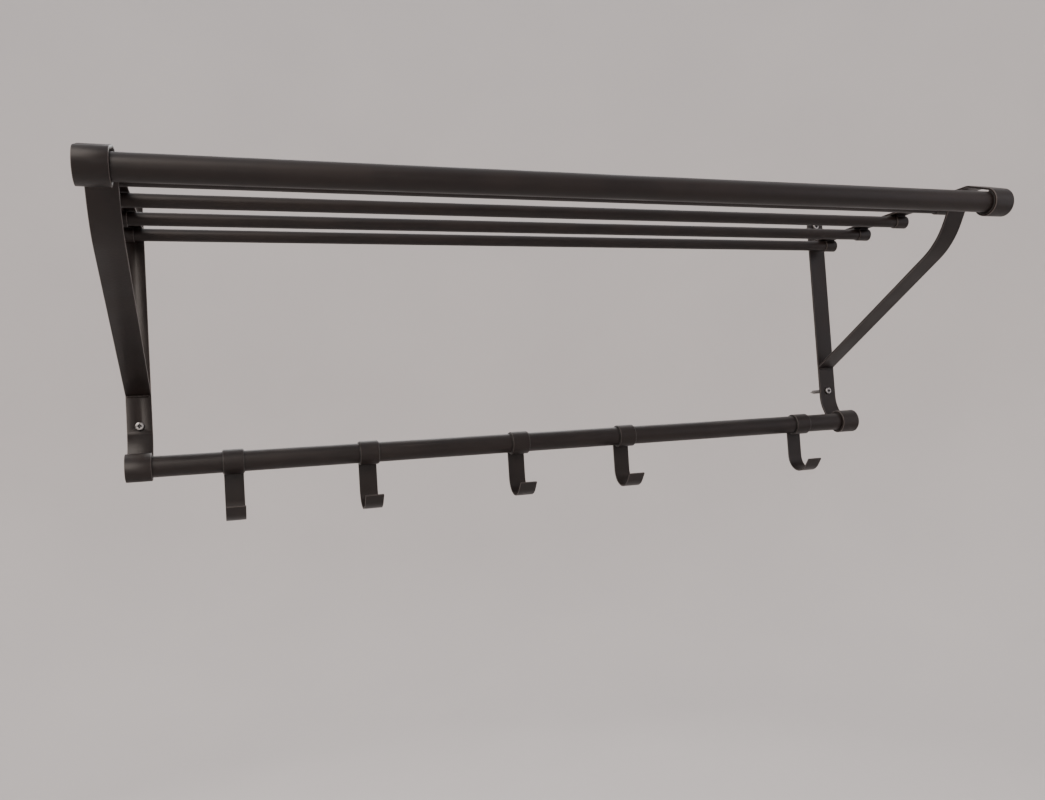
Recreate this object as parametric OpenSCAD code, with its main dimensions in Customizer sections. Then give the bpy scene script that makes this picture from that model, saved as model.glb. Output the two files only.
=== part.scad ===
// Wall-mounted hat and coat rack: a shelf of one thick front tube and four
// thin rods, held between two side frames of bent flat steel, with a lower
// rail that carries five sliding, swinging coat hooks.
//
// Frame of the part: X along the wall, Y towards the wall, Z up, in mm.
// The origin is the middle of the four wall screws, on the face of the wall.
// The wall is the plane Y = 0, and everything but the screws is at Y < 0.

/* [Overall] */
// Width over the two side frames
overall_w = 900; // [600:5:1200]
// Distance from the wall to the centre of the front tube
shelf_depth = 292; // [240:1:380]
// Distance from the wall to the centre of the hook rail
rail_reach = 31; // [29:0.5:44]

/* [Wall screws] */
// Vertical distance between the upper and lower wall screws
screw_span_z = 230; // [190:1:320]
// Outer diameter of the screw thread
screw_d = 5; // [4:0.5:6]
// Diameter of the plain shank between the screw's head and its thread
shank_d = 4.4; // [3.5:0.1:4.8]
// Clearance of the strap's hole around the screw's thread, in diameter
screw_hole_gap = 0.5; // [0.2:0.1:1]
// Diameter of the pan head
screw_head_d = 9; // [8:0.5:12]
// Height of the pan head
screw_head_h = 2.6; // [2:0.1:4]
// Radius of the dome on the pan head
screw_dome_r = 9; // [7:0.5:14]
// Length of each arm of the cross recess, tip to tip
recess_l = 5; // [4:0.5:6]
// Width of each arm of the cross recess
recess_w = 1.2; // [0.8:0.1:1.5]
// Depth of the cross recess
recess_depth = 1.6; // [1:0.1:1.8]
// Length of full thread, from the face of the wall
screw_grip = 30; // [20:1:60]
// Length of the screw's point
screw_point = 6; // [4:1:8]
// Diameter of the blunt end of the point
screw_tip_d = 0.6; // [0.4:0.1:1]

/* [Flat steel] */
// Width of the flat steel of the side frames
band_w = 25; // [20:1:32]
// Thickness of the flat steel of the side frames
band_t = 2.5; // [2:0.25:3.5]
// What bending takes off each face of flat steel
bend_thinning = 0.01; // [0.01:0.01:0.05]
// Length of wall strap above the upper screw
strap_head = 13; // [9:1:30]
// Corner radius at the top of the wall strap
strap_corner_r = 5; // [2:1:8]
// Height of the rods below the upper screw
rods_below_screw = 32; // [22:1:60]
// Straight wall strap below the lower screw, before it curves forward
strap_tail = 7; // [6:1:30]
// Radius of the wall strap's back face where it curves forward
strap_bend_r = 40; // [30:1:60]
// Height of the rail's centre below the start of that curve
rail_below_bend = 36; // [32:1:60]
// Height of the strut's foot above the lower screw
strut_foot = 32; // [20:1:60]
// Distance of the strut's head behind the front tube's centre
strut_behind_tube = 38; // [34:1:60]
// Steepness of the strut's neck below the shelf band, in degrees
neck_angle = 60; // [50:1:70]
// Length of the neck, from the shelf band to the corner of the strut
neck_length = 60; // [45:1:75]
// Radius of the strut's front face at that corner
strut_bend_r = 90; // [50:1:110]

/* [Shelf] */
// Outer diameter of the front tube
tube_d = 22; // [16:1:28]
// Wall of the front tube and of the hook rail
tube_wall = 1.5; // [1:0.25:2]
// Height of the front tube's centre below the rods
tube_below_rods = 14; // [11:0.5:20]
// Thickness of the lining between the front tube and its loop
tube_lining = 1.5; // [1:0.25:2.5]
// Distance of the linings from the edges of their loops
lining_inset = 0.5; // [0:0.25:2]
// Angle that the tube's lining stays back from the ends of its loop, in degrees
lining_setback = 5; // [2:1:12]
// Slope of the shelf band where it drops onto the front tube, in degrees
drop_angle = 21; // [15:1:28]
// Inner radius of the bend between the flat shelf band and its drop
drop_bend_r = 12; // [6:1:20]
// Angle at which the loop ends behind the front tube, in degrees
loop_end = 35; // [10:1:50]
// Outer diameter of the shelf rods
rod_d = 13; // [10:0.5:16]
// Wall of the shelf rods
rod_wall = 1.25; // [1:0.25:2]
// Distance from the wall to the centre of the rearmost rod
rear_rod = 22; // [20:1:40]
// Distance from the front rod to the front tube
front_gap = 75; // [68:1:100]
// Wall of the ferrule on each rod end
ferrule_wall = 1.1; // [0.8:0.1:2]
// Length of the ferrule on each rod end
ferrule_l = 17; // [12:1:24]

/* [Rail and hooks] */
// Outer diameter of the hook rail
rail_d = 22; // [16:1:26]
// Thickness of the lining between the rail and its loop
rail_lining = 1; // [0.75:0.25:2]
// Gap between the end of the rail's loop and the straight back of the rail, in degrees
rail_loop_gap = 10; // [5:1:30]
// Places of the hooks, from 0 at the left end of their travel to 1 at the right
hook_places = [0.081, 0.252, 0.464, 0.63, 0.939];
// Width of the hook's flat steel
hook_w = 20; // [14:1:26]
// Thickness of the hook's flat steel
hook_t = 1.5; // [1.25:0.25:2.5]
// Straight length from the rail's centre down to the hook's curve
hook_drop = 41; // [30:1:60]
// Outer radius of the hook's curve
hook_bend_r = 20; // [14:1:26]
// How far the hook's curve turns, in degrees
hook_turn = 140; // [120:5:165]
// Straight length of the hook's tip
hook_tip = 10.5; // [8:0.5:20]
// Corner radius of the hook's tip
tip_corner_r = 1; // [0.5:0.5:6]
// Wall of the plastic glide inside the hook's loop
glide_wall = 0.5; // [0.5:0.1:1]
// Height of the glide's end flanges above its wall
glide_flange_h = 0.9; // [0.6:0.1:1.2]
// Thickness of the glide's end flanges
glide_flange_t = 0.7; // [0.5:0.1:1]

/* [Fits] */
// Radial running clearance, rail to glide and glide to hook
running_gap = 0.05; // [0.02:0.01:0.1]
// Clearance at each end of a hook between its glide's flanges
side_gap = 0.15; // [0.1:0.05:0.4]
// Clearance between the hook nearest an end and the wall strap
end_gap = 0.5; // [0.3:0.1:2]
// Radial clearance of a plug's stem inside its tube
plug_gap = 0.1; // [0.05:0.05:0.3]
// Thickness of the plug heads that close the tubes
plug_head = 1.5; // [1:0.25:3]
// Length of the plug stems
plug_stem = 10; // [6:1:16]
// Depth of the rod plugs below the ends of the ferrules
rod_plug_recess = 1.2; // [0.6:0.1:2]

/* [Hidden] */
$fn = 96;
lap = 0.15;
cut = 1;
relief = 0.02;
rod_count = 4;

side_x = overall_w / 2;
inner_x = side_x - band_w;
strap_x = side_x - band_w / 2;

upper_screw_z = screw_span_z / 2;
lower_screw_z = -screw_span_z / 2;
strap_top_z = upper_screw_z + strap_head;
bend_z = lower_screw_z - strap_tail;

rods_z = upper_screw_z - rods_below_screw;
rod_r = rod_d / 2;
ferrule_r = rod_r + ferrule_wall;
rod_pitch = (shelf_depth - rear_rod - front_gap) / (rod_count - 1);

tube_r = tube_d / 2;
tube_z = rods_z - tube_below_rods;
tube_loop_in = tube_r + tube_lining;
tube_loop_out = tube_loop_in - bend_thinning + band_t;
shelf_under_z = rods_z + ferrule_r;
shelf_top_z = shelf_under_z + band_t;

rail_r = rail_d / 2;
rail_z = bend_z - rail_below_bend;
rail_loop_in = rail_r + rail_lining;
rail_loop_out = rail_loop_in - bend_thinning + band_t;

glide_in = rail_r + running_gap;
glide_out = glide_in + glide_wall;
glide_l = hook_w + 2 * side_gap + 2 * glide_flange_t;
hook_in = glide_out + running_gap;
hook_out = hook_in + hook_t;
hook_travel = inner_x - glide_l / 2 - end_gap;

// Shelf band: its slope is tangent to the loop, and meets the flat top at drop_y
drop_run = (shelf_top_z - tube_z - tube_loop_out * cos(drop_angle)) / sin(drop_angle);
drop_y = -shelf_depth - tube_loop_out * sin(drop_angle) + drop_run * cos(drop_angle);
drop_tangent = (drop_bend_r + band_t) * tan(drop_angle / 2);

// Wall strap: the angle at which its straight tail runs on to the rail's loop
tail_a = strap_bend_r - rail_reach;
tail_b = bend_z - rail_z;
tail_angle = atan2(tail_b, tail_a)
    - acos((strap_bend_r - rail_loop_out) / norm([tail_a, tail_b]));
tail_run = tail_b * cos(tail_angle) - tail_a * sin(tail_angle);

// Strut: head at the shelf band, corner below it, foot at the wall strap
head = [-shelf_depth + strut_behind_tube, shelf_under_z];
corner = head + neck_length * [cos(neck_angle), -sin(neck_angle)];
foot = [-band_t, lower_screw_z + strut_foot];
foot_angle = atan2(corner[1] - foot[1], foot[0] - corner[0]);
corner_turn = neck_angle - foot_angle;
corner_tangent = strut_bend_r * tan(corner_turn / 2);

SIDES = ["left", "right"];

COAT = "#1d1a19";
STEEL_EDGE = "#2a2625";
PLASTIC = "#101010";
ZINC = "#b9bcc0";

function sign_of(side) = side == "left" ? -1 : 1;
function rod_y(i) = -rear_rod - (i - 1) * rod_pitch;
function hook_x(i) = hook_travel * (2 * hook_places[i - 1] - 1);

// A flat shape in the Y-Z plane, extruded along X over the width w, centred on x
module along_x(x, w) {
    translate([x - w / 2, 0, 0])
        rotate([90, 0, 90])
            linear_extrude(w) children();
}

// The stretch of a ring, inner radius r and thickness t, from straight below its
// centre (above it for a negative angle) on through the angle
module ring_bend(r, t, angle) {
    reach = 2 * (r + t);
    side = sign(angle);
    difference() {
        circle(r + t);
        circle(r);
        if (abs(angle) < 180) {
            translate([-reach, -reach]) square([reach, 2 * reach]);
            rotate(angle) translate([0, -reach]) square([reach, 2 * reach]);
        } else
            intersection() {
                translate([-reach, -reach]) square([reach, 2 * reach]);
                rotate(angle) translate([0, -reach]) square([reach, 2 * reach]);
            }
    }
}

// A strip of thickness t bent as a list of steps: [0, length] is straight, and
// [inner radius, angle] is a bend, to the left for a positive angle. The strip
// lies to the left of its path. Straights lap a little way into the bends.
module bent_strip(steps, t, i = 0) {
    if (i < len(steps)) {
        r = steps[i][0];
        v = steps[i][1];
        if (r == 0) {
            before = i == 0 ? 0 : lap;
            after = i == len(steps) - 1 ? 0 : lap;
            translate([-before, 0]) square([v + before + after, t]);
            translate([v, 0]) bent_strip(steps, t, i + 1);
        } else {
            centre = v > 0 ? t + r : -r;
            translate([0, centre]) {
                ring_bend(r + bend_thinning, t - 2 * bend_thinning, v);
                rotate(v)
                    translate([0, -centre])
                        bent_strip(steps, t, i + 1);
            }
        }
    }
}

// A round tube along X between two ends
module tube_x(x0, x1, outer, inner) {
    translate([x0, 0, 0])
        rotate([0, 90, 0])
            difference() {
                cylinder(h = x1 - x0, r = outer);
                if (inner > 0)
                    translate([0, 0, -cut])
                        cylinder(h = x1 - x0 + 2 * cut, r = inner);
            }
}

// Mirrors what is built for the right side onto the side that is asked for
module on_side(side) {
    mirror([side == "left" ? 1 : 0, 0, 0]) children();
}

module front_tube() {
    color(COAT)
        translate([0, -shelf_depth, tube_z])
            tube_x(plug_head - side_x, side_x - plug_head, tube_r, tube_r - tube_wall);
}

// A plug that closes a tube: a flush head and a stem, with a blind recess in the head
module end_plug(side, outer, bore, recess) {
    color(PLASTIC)
        on_side(side)
            difference() {
                union() {
                    tube_x(side_x - plug_head, side_x, outer, 0);
                    tube_x(side_x - plug_head - plug_stem, side_x - plug_head + lap, bore - plug_gap, 0);
                }
                tube_x(side_x - plug_head - plug_stem - cut, side_x - plug_head, bore - recess, 0);
            }
}

module front_plug(side) {
    translate([0, -shelf_depth, tube_z])
        end_plug(side, tube_r, tube_r - tube_wall, tube_wall + plug_gap);
}

module rail_plug(side) {
    translate([0, -rail_reach, rail_z])
        end_plug(side, rail_r, rail_r - tube_wall, tube_wall + plug_gap);
}

// The lining stops short of the top, where the shelf band leaves the tube
module front_lining(side) {
    start = drop_angle + lining_setback;
    color(PLASTIC)
        on_side(side)
            translate([0, -shelf_depth, tube_z])
                along_x(strap_x, band_w - 2 * lining_inset)
                    rotate(180 + start)
                        ring_bend(tube_r, tube_lining, 270 + loop_end - start - lining_setback);
}

module rail_lining(side) {
    color(PLASTIC)
        on_side(side)
            translate([0, -rail_reach, rail_z])
                tube_x(inner_x + lining_inset, side_x - lining_inset, rail_loop_in, rail_r);
}

module shelf_rod(i) {
    color(COAT)
        translate([0, rod_y(i), rods_z])
            tube_x(rod_plug_recess - side_x, side_x - rod_plug_recess, rod_r, rod_r - rod_wall);
}

module rod_plug(side, i) {
    face = side_x - 2 * rod_plug_recess;
    color(PLASTIC)
        on_side(side)
            translate([0, rod_y(i), rods_z])
                difference() {
                    tube_x(face - plug_stem, face, rod_r - rod_wall, 0);
                    tube_x(face - plug_stem - cut, face - plug_head, rod_r - 2 * rod_wall, 0);
                }
}

module ferrule(side, i) {
    color(COAT)
        on_side(side)
            translate([0, rod_y(i), rods_z])
                tube_x(side_x - ferrule_l, side_x, ferrule_r, rod_r);
}

// Flat along the rods, down onto the front tube and once round it
module shelf_band(side) {
    color(COAT)
        on_side(side)
            along_x(strap_x, band_w)
                translate([-band_t, shelf_top_z])
                    rotate(180)
                        bent_strip([
                            [0, -band_t - drop_y - drop_tangent],
                            [drop_bend_r, drop_angle],
                            [0, drop_run - drop_tangent],
                            [tube_loop_in - bend_thinning, 270 + loop_end - drop_angle],
                        ], band_t);
}

// What rounds off the two corners of flat steel of width w and thickness t that
// lies in the X-Y plane and ends at the length given along Y
module corner_cutter(w, t, length, r) {
    for (s = [-1, 1])
        translate([s * (w / 2 - r - relief), length - r - relief, 0])
            linear_extrude(4 * t, center = true)
                difference() {
                    translate([s > 0 ? 0 : -r - cut, 0]) square([r + cut, r + cut]);
                    circle(r);
                }
}

// Flat on the wall, forward at the bottom and once round the rail
module wall_strap(side) {
    color(COAT)
        on_side(side)
            difference() {
                along_x(strap_x, band_w)
                    translate([-band_t, strap_top_z])
                        rotate(-90)
                            bent_strip([
                                [0, strap_top_z - bend_z],
                                [strap_bend_r - band_t, -tail_angle],
                                [0, tail_run],
                                [rail_loop_in - bend_thinning, tail_angle + rail_loop_gap - 360],
                            ], band_t);
                translate([strap_x, 0, 0])
                    rotate([90, 0, 0])
                        corner_cutter(band_w, band_t, strap_top_z, strap_corner_r);
                for (z = [upper_screw_z, lower_screw_z])
                    translate([strap_x, cut, z])
                        rotate([90, 0, 0])
                            cylinder(h = band_t + 2 * cut, d = screw_d + screw_hole_gap);
            }
}

// From the shelf band's underside down to the wall strap, mitred at both ends
module strut(side) {
    reach = 3 * band_t;
    color(COAT)
        on_side(side)
            along_x(strap_x, band_w)
                intersection() {
                    translate(head)
                        rotate(-neck_angle)
                            translate([-reach, 0])
                                bent_strip([
                                    [0, reach + neck_length - corner_tangent],
                                    [strut_bend_r - band_t, corner_turn],
                                    [0, norm(corner - foot) - corner_tangent + reach],
                                ], band_t);
                    translate([-2 * shelf_depth, shelf_under_z - 2 * screw_span_z])
                        square([2 * shelf_depth - band_t, 2 * screw_span_z]);
                }
}

// Pan head with a cross recess in front of the strap, plain shank through it,
// and the thread behind it
module wall_screw(side, z) {
    under_head = -band_t;
    color(ZINC)
        on_side(side)
            translate([strap_x, under_head, z])
                rotate([-90, 0, 0])
                    difference() {
                        union() {
                            translate([0, 0, -screw_head_h])
                                intersection() {
                                    cylinder(h = screw_head_h, d = screw_head_d);
                                    translate([0, 0, screw_dome_r])
                                        sphere(r = screw_dome_r);
                                }
                            translate([0, 0, -lap])
                                cylinder(h = band_t + 2 * lap, d = shank_d);
                            translate([0, 0, band_t])
                                cylinder(h = screw_grip, d = screw_d);
                            translate([0, 0, band_t + screw_grip - lap])
                                cylinder(h = screw_point + lap, d1 = screw_d, d2 = screw_tip_d);
                        }
                        for (a = [0, 90])
                            rotate(a)
                                translate([-recess_l / 2, -recess_w / 2, -screw_head_h - cut])
                                    cube([recess_l, recess_w, recess_depth + cut]);
                    }
}

module hook_rail() {
    color(COAT)
        translate([0, -rail_reach, rail_z])
            tube_x(plug_head - side_x, side_x - plug_head, rail_r, rail_r - tube_wall);
}

// A thin flanged bush that slides on the rail and carries one hook
module hook_glide(i) {
    color(PLASTIC)
        translate([hook_x(i), -rail_reach, rail_z])
            difference() {
                union() {
                    tube_x(-glide_l / 2, glide_l / 2, glide_out, 0);
                    for (s = [-1, 1])
                        translate([s * (glide_l - glide_flange_t) / 2, 0, 0])
                            tube_x(-glide_flange_t / 2, glide_flange_t / 2, glide_out + glide_flange_h, 0);
                }
                tube_x(-glide_l / 2 - cut, glide_l / 2 + cut, glide_in, 0);
            }
}

// A closed loop round the glide, a strap down from its back, a curve forward
// and a straight tip that leans out
module hook(i) {
    back_y = hook_in + bend_thinning;
    bend_in = hook_bend_r - hook_t;
    bend_y = back_y - bend_in;
    color(COAT)
        translate([hook_x(i), -rail_reach, rail_z])
            difference() {
                union() {
                    tube_x(-hook_w / 2, hook_w / 2, hook_out, 0);
                    along_x(0, hook_w)
                        translate([back_y, 0])
                            rotate(-90)
                                bent_strip([
                                    [0, hook_drop],
                                    [bend_in, -hook_turn],
                                    [0, hook_tip],
                                ], hook_t);
                }
                tube_x(-hook_w / 2 - cut, hook_w / 2 + cut, hook_in, 0);
                translate([0, bend_y + bend_in * cos(hook_turn), -bend_in * sin(hook_turn) - hook_drop])
                    rotate([-90 - hook_turn, 0, 0])
                        corner_cutter(hook_w, hook_t, hook_tip, tip_corner_r);
            }
}

front_tube();
hook_rail();
for (s = SIDES) {
    front_plug(s);
    front_lining(s);
    rail_plug(s);
    rail_lining(s);
    shelf_band(s);
    wall_strap(s);
    strut(s);
    wall_screw(s, upper_screw_z);
    wall_screw(s, lower_screw_z);
    for (i = [1 : rod_count]) {
        rod_plug(s, i);
        ferrule(s, i);
    }
}
for (i = [1 : rod_count])
    shelf_rod(i);
for (i = [1 : len(hook_places)]) {
    hook_glide(i);
    hook(i);
}
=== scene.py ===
"""Looks of a wall rack: a shelf of round rods in bent flat-steel side frames, over a rail of sliding hooks.

Every piece is made at its real place in metres: X along the wall, Y into the wall, Z up, with the
origin in the middle of the wall screws on the face of the wall.
"""

from __future__ import annotations

import logging
import math
from dataclasses import dataclass, field
from enum import Enum
from typing import Callable

import bpy
from bpy.types import Material, Node, NodeSocket, Object
from mathutils import Matrix, Vector


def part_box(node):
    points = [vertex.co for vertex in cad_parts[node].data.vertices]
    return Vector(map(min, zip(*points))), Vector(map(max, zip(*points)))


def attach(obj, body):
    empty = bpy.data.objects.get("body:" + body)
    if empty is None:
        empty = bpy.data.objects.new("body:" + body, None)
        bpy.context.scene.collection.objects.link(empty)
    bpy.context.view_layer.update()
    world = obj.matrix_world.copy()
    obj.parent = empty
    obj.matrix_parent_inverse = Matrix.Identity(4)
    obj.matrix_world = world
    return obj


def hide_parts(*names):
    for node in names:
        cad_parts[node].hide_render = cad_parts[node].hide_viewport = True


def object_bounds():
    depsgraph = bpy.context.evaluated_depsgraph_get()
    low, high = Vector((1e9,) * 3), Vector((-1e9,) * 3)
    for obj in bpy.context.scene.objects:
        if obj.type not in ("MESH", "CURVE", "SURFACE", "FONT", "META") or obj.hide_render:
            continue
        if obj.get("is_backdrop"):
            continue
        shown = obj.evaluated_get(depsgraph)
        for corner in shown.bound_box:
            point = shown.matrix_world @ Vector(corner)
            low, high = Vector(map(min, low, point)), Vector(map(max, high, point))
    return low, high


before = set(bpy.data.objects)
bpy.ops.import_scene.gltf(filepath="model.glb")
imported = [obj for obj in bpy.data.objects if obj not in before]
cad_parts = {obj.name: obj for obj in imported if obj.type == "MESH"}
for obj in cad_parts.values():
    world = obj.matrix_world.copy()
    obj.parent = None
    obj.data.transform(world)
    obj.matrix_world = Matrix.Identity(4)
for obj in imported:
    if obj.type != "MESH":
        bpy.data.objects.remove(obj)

log = logging.getLogger("rack")
Pair = tuple[float, float]
Triple = tuple[float, float, float]
MM = 0.001
HAIR = 0.01 * MM  # Places closer than this count as one
FACET_TURN = 4.0  # Degrees that a bend turns from facet to facet
SIDES = ("left", "right")


# ---- workbench


class Element(Enum):
    """The kinds of mesh element that can be picked."""

    VERTEX = "VERT"
    EDGE = "EDGE"
    FACE = "FACE"


class Lying(Enum):
    """The axis that a round bar lies along, as the turn that lays it there."""

    ALONG_WALL = (0, math.pi / 2, 0)
    INTO_WALL = (math.pi / 2, 0, 0)


def leave_edit() -> None:
    """Goes back to object mode."""
    bpy.ops.object.mode_set(mode="OBJECT")


def take(piece: Object | None = None) -> None:
    """Leaves edit mode and makes a piece the only selected and the active one.

    Args:
        piece: The piece to work on, or nothing to leave all deselected.
    """
    if bpy.context.object and bpy.context.object.mode != "OBJECT":
        leave_edit()
    bpy.ops.object.select_all(action="DESELECT")
    if piece:
        piece.select_set(True)
        bpy.context.view_layer.objects.active = piece


def edit_all(piece: Object) -> None:
    """Enters edit mode with all of a piece selected.

    Args:
        piece: The piece to work on.
    """
    take(piece)
    bpy.ops.object.mode_set(mode="EDIT")
    bpy.ops.mesh.select_all(action="SELECT")


def pick(piece: Object, kind: Element, test: Callable[[object], bool]) -> None:
    """Enters edit mode with just the elements that pass a test selected.

    Args:
        piece: The piece to select on.
        kind: Vertices, edges or faces.
        test: Gets a vertex, an edge as its two end points, or a face, and says whether it is wanted.
    """
    take(piece)
    bpy.ops.object.mode_set(mode="EDIT")
    bpy.ops.mesh.select_mode(type=kind.value)
    bpy.ops.mesh.select_all(action="DESELECT")
    leave_edit()
    mesh = piece.data
    if kind is Element.EDGE:
        for edge in mesh.edges:
            edge.select = test([mesh.vertices[i].co for i in edge.vertices])
    else:
        for element in mesh.vertices if kind is Element.VERTEX else mesh.polygons:
            element.select = test(element)
    bpy.ops.object.mode_set(mode="EDIT")


def named(name: str) -> Object:
    """Names the primitive that was just added, and moves its place, turn and scale into its mesh.

    Args:
        name: The piece's name.

    Returns:
        The named piece, at the origin, unturned and unscaled.
    """
    piece = bpy.context.object
    piece.name = piece.data.name = name
    take(piece)
    bpy.ops.object.transform_apply(location=True, rotation=True, scale=True)
    return piece


def round_bar(name: str, middle: Triple, length: float, radius: float, sides: int, lying: Lying) -> Object:
    """Adds a plain round bar to be shaped.

    Args:
        name: Its name.
        middle: The middle of its axis.
        length: How long it is.
        radius: Its radius.
        sides: How many facets go round it.
        lying: Which way it lies.

    Returns:
        The bar.
    """
    bpy.ops.mesh.primitive_cylinder_add(
        vertices=sides, radius=radius, depth=length, location=middle, rotation=lying.value
    )
    return named(name)


def extrude(move: Vector | Triple) -> None:
    """Extrudes what is selected by a move."""
    bpy.ops.mesh.extrude_region_move(TRANSFORM_OT_translate={"value": move})


def modify(piece: Object, kind: str, **settings: object) -> None:
    """Adds a modifier with its settings and applies it.

    Args:
        piece: The piece to change.
        kind: Blender's name of the modifier.
        **settings: The modifier's properties.
    """
    take(piece)
    modifier = piece.modifiers.new(kind.title(), kind)
    for key, value in settings.items():
        setattr(modifier, key, value)
    bpy.ops.object.modifier_apply(modifier=modifier.name)


def close_up(piece: Object) -> None:
    """Merges doubled vertices and turns every face outwards.

    Args:
        piece: The piece to clean.
    """
    edit_all(piece)
    bpy.ops.mesh.remove_doubles(threshold=0.002 * MM)
    bpy.ops.mesh.normals_make_consistent(inside=False)
    leave_edit()


def ease_edges(piece: Object, width: float, segments: int = 2, slot: int = 0) -> None:
    """Rounds the sharp edges of a piece and shades it smooth with flat faces kept flat.

    Args:
        piece: The piece to finish.
        width: Width of the rounding, in metres.
        segments: Facets across the rounding.
        slot: Material slot that the rounded edges take.
    """
    modify(
        piece,
        "BEVEL",
        width=width,
        segments=segments,
        limit_method="ANGLE",
        angle_limit=math.radians(38),
        offset_type="OFFSET",
        use_clamp_overlap=True,
        material=slot,
    )
    take(piece)
    bpy.ops.object.shade_smooth_by_angle(angle=math.radians(50))
    modify(piece, "WEIGHTED_NORMAL", mode="FACE_AREA", weight=80, keep_sharp=True)


def carve(piece: Object, cutter: Object, **settings: object) -> None:
    """Cuts the cutter's volume out of a piece and throws the cutter away."""
    modify(piece, "BOOLEAN", operation="DIFFERENCE", solver="EXACT", object=cutter, **settings)
    bpy.data.objects.remove(cutter)


def cut_off(piece: Object, point: Triple, outward: Triple) -> None:
    """Cuts off what lies past a plane and closes the cut.

    Args:
        piece: The piece that is cut.
        point: A point of the plane.
        outward: The plane's normal, pointing at what goes.
    """
    edit_all(piece)
    bpy.ops.mesh.bisect(plane_co=point, plane_no=outward, use_fill=True, clear_outer=True)
    leave_edit()


def join(pieces: list[Object]) -> Object:
    """Joins pieces into the first of them.

    Args:
        pieces: The pieces to join.

    Returns:
        The joined piece, with the first one's name.
    """
    take(pieces[0])
    for piece in pieces[1:]:
        piece.select_set(True)
    bpy.ops.object.join()
    return bpy.context.object


def copy_of(piece: Object, name: str, shift: Triple = (0, 0, 0)) -> Object:
    """Copies a finished piece to another place, with a mesh of its own.

    Args:
        piece: The piece to copy.
        name: The copy's name.
        shift: How far the copy is moved.

    Returns:
        The copy.
    """
    twin = piece.copy()
    twin.data = piece.data.copy()
    twin.name = twin.data.name = name
    bpy.context.scene.collection.objects.link(twin)
    twin.data.transform(Matrix.Translation(shift))
    return twin


def dress(piece: Object, *materials: Material) -> Object:
    """Puts materials in a piece's slots, in order.

    Args:
        piece: The piece.
        *materials: Its materials.

    Returns:
        The same piece.
    """
    piece.data.materials.clear()
    for material in materials:
        piece.data.materials.append(material)
    return piece


def hand_over(piece: Object, body: str, slot: str, *nodes: str) -> None:
    """Ties a finished piece to its body and hides the solids that it stands for.

    Args:
        piece: The finished piece.
        body: The body that it rides on.
        slot: The record's material slot; not used.
        *nodes: The solids that it replaces.
    """
    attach(piece, body)
    if nodes:
        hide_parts(*nodes)
    log.info("%s: %d faces, rides on %s", piece.name, len(piece.data.polygons), body)


def hand_over_pair(piece: Object, slot: str, *nodes: str) -> None:
    """Mirrors a finished right-hand piece to the left and ties both to the frame.

    Args:
        piece: The right-hand piece, which says so in its name.
        slot: The record's material slot.
        *nodes: The right-hand solids that it replaces.
    """
    twin = copy_of(piece, piece.name.replace("right", "left"))
    twin.data.transform(Matrix.Scale(-1, 4, Vector((1, 0, 0))))
    twin.data.flip_normals()
    hand_over(piece, "frame", slot, *nodes)
    hand_over(twin, "frame", slot, *(node.replace("right", "left") for node in nodes))


# ---- finishes


def srgb(hex_colour: str) -> tuple[float, float, float, float]:
    """Turns an sRGB hex colour into the linear colour that shaders take.

    Args:
        hex_colour: Six hex digits after a hash.

    Returns:
        Linear red, green, blue and full alpha.
    """
    levels = [int(hex_colour[i : i + 2], 16) / 255 for i in (1, 3, 5)]
    linear = [v / 12.92 if v <= 0.04045 else ((v + 0.055) / 1.055) ** 2.4 for v in levels]
    return (*linear, 1.0)


class Surface:
    """A material being built: its tree, its shader and its object coordinates."""

    SMOOTH = {"interpolation_type": "SMOOTHSTEP"}

    def __init__(self, name: str) -> None:
        """Starts a material with an empty shader.

        Args:
            name: The material's name.
        """
        self.material = bpy.data.materials.new(name)
        self.material.use_nodes = True
        self.tree = self.material.node_tree
        self.tree.nodes.clear()
        self.shader = self.add("BsdfPrincipled")
        self.add("OutputMaterial", {"Surface": self.shader})
        coordinates = self.add("TexCoord")
        self.place = coordinates.outputs["Object"]
        self.facing = coordinates.outputs["Normal"]

    def add(self, kind: str, inputs: list[object] | dict[str | int, object] = (), **settings: object) -> Node:
        """Adds one node with its settings, values and links.

        Args:
            kind: The node's type name, without what all shader nodes start with.
            inputs: What each input gets, in order, or by its name or number; see feed.
            **settings: The node's properties.

        Returns:
            The new node.
        """
        node = self.tree.nodes.new(f"ShaderNode{kind}")
        for key, value in settings.items():
            setattr(node, key, value)
        for key, value in inputs.items() if isinstance(inputs, dict) else enumerate(inputs):
            self.feed(node.inputs[key], value)
        return node

    def feed(self, socket: NodeSocket, value: object) -> None:
        """Sets an input, or links it.

        Args:
            socket: The input.
            value: A plain value, another node's output, or a node whose first output is meant.
        """
        if isinstance(value, Node):
            value = value.outputs[0]
        if isinstance(value, NodeSocket):
            self.tree.links.new(value, socket)
        else:
            socket.default_value = value

    def set(self, **values: object) -> None:
        """Feeds the shader's inputs, with underscores for the spaces in their names."""
        for key, value in values.items():
            self.feed(self.shader.inputs[key.replace("_", " ")], value)

    def clouds(self, size: float, detail: float = 2.0, stretch: Triple = (1, 1, 1)) -> Node:
        """A cloudy pattern from 0 to 1, of a size in millimetres, with its finer layers and its stretch."""
        mapped = self.add("Mapping", {"Vector": self.place, "Scale": tuple(1 / s for s in stretch)})
        return self.add("TexNoise", {"Vector": mapped, "Scale": 1 / (size * MM), "Detail": detail})

    def upward(self, start: float, full: float) -> Node:
        """How far a surface faces up, from 0 where its normal's height is start, to 1 where it is full."""
        height = self.add("SeparateXYZ", [self.facing]).outputs["Z"]
        return self.add("MapRange", [height, start, full, 0, 1], **self.SMOOTH)


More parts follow.
